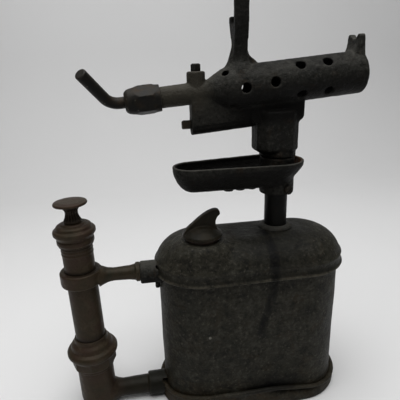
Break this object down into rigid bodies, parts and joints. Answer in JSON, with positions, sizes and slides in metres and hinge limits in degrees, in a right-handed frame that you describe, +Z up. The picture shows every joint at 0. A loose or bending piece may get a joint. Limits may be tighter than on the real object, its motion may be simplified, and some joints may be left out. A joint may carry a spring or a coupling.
{
  "type": "blow torch",
  "caption": "Hand-pumped gasoline blow torch: oblong fuel tank with a side pump as the handle, a perforated flame tube on a standpipe, a drip pan and rests for a soldering iron.",
  "frame": {"origin": "centre of the tank's base, on the plane it stands on", "axes": "+Z up, +X towards the mouth of the flame tube, the pump stands on the -X side"},
  "size_m": [0.2292, 0.0754, 0.3122],
  "materials": {
    "tank_steel": "dark, pitted and soot-stained",
    "cast_iron": "rough sand-cast, blackened by soot, rust in the recesses",
    "brass": "dark brown patina, worn on the edges",
    "steel": "dull, oxidised",
    "leather": "oiled",
    "cotton": "twisted cotton"
  },
  "bodies": {
    "lamp": {"tank_base": "tank_steel", "tank_body": "tank_steel", "tank_top": "tank_steel", "filler_seat": "tank_steel", "post_flange": "cast_iron", "standpipe": "steel", "feed_tube": "brass", "wick": "cotton", "burner_casting": "cast_iron", "flame_tube": "cast_iron", "iron_hook": "cast_iron", "iron_fork": "cast_iron", "top_plug": "steel", "side_plug": "steel", "jet_nozzle": "brass", "packing_nut": "steel", "gland_packing": "cotton", "pump_base": "brass", "check_plug": "brass", "check_spring": "steel", "union_collar": "brass", "pump_barrel": "brass", "pump_cap": "brass", "clamp_arm": "brass", "upper_lug": "cast_iron", "lower_lug": "cast_iron"},
    "drip_pan": {"drip_pan": "cast_iron", "pan_clamp_screw": "steel"},
    "plunger": {"pump_rod": "steel", "pump_knob": "brass", "plunger_washer": "steel", "cup_leather": "leather", "plunger_nut": "steel"},
    "filler_gasket": {"filler_gasket": "leather"},
    "filler_cap": {"filler_cap": "brass"},
    "valve_needle": {"valve_needle": "steel"},
    "valve_rod": {"valve_rod": "steel"},
    "check_valve": {"check_disc": "brass"}
  },
  "joints": [
    {"name": "pan_swivel", "type": "hinge", "parent": "lamp", "child": "drip_pan", "pos_m": [0.0212, 0, 0.18], "axis": [0, 0, 1], "continuous": true},
    {"name": "pump_stroke", "type": "slide", "parent": "lamp", "child": "plunger", "axis": [-0.0244, 0, 0.9997], "range_m": [0, 0.08]},
    {"name": "filler_lift", "type": "slide", "parent": "lamp", "child": "filler_gasket", "axis": [0, 0, 1], "range_m": [0, 0.00452]},
    {"name": "filler_turn", "type": "hinge", "parent": "filler_gasket", "child": "filler_cap", "pos_m": [-0.0388, -0.0125, 0.141], "axis": [0, 0, 1], "range_deg": [0, 900]},
    {"name": "valve_advance", "type": "slide", "parent": "lamp", "child": "valve_needle", "axis": [-0.996, 0, -0.0889], "range_m": [0, 0.00122]},
    {"name": "valve_turn", "type": "hinge", "parent": "valve_needle", "child": "valve_rod", "pos_m": [0.0212, 0, 0.2478], "axis": [-0.996, 0, -0.0889], "range_deg": [0, 540]},
    {"name": "check_lift", "type": "slide", "parent": "lamp", "child": "check_valve", "axis": [0.0244, 0, -0.9997], "range_m": [0, 0.0015], "stiffness_N_per_m": 200, "springref_m": -0.002, "deforming": ["check_spring"]}
  ],
  "couplings": [
    {"joint": "filler_lift", "follows": "filler_turn", "m_per_rad": 0.00028648},
    {"joint": "valve_advance", "follows": "valve_turn", "m_per_rad": 0.00012732}
  ]
}
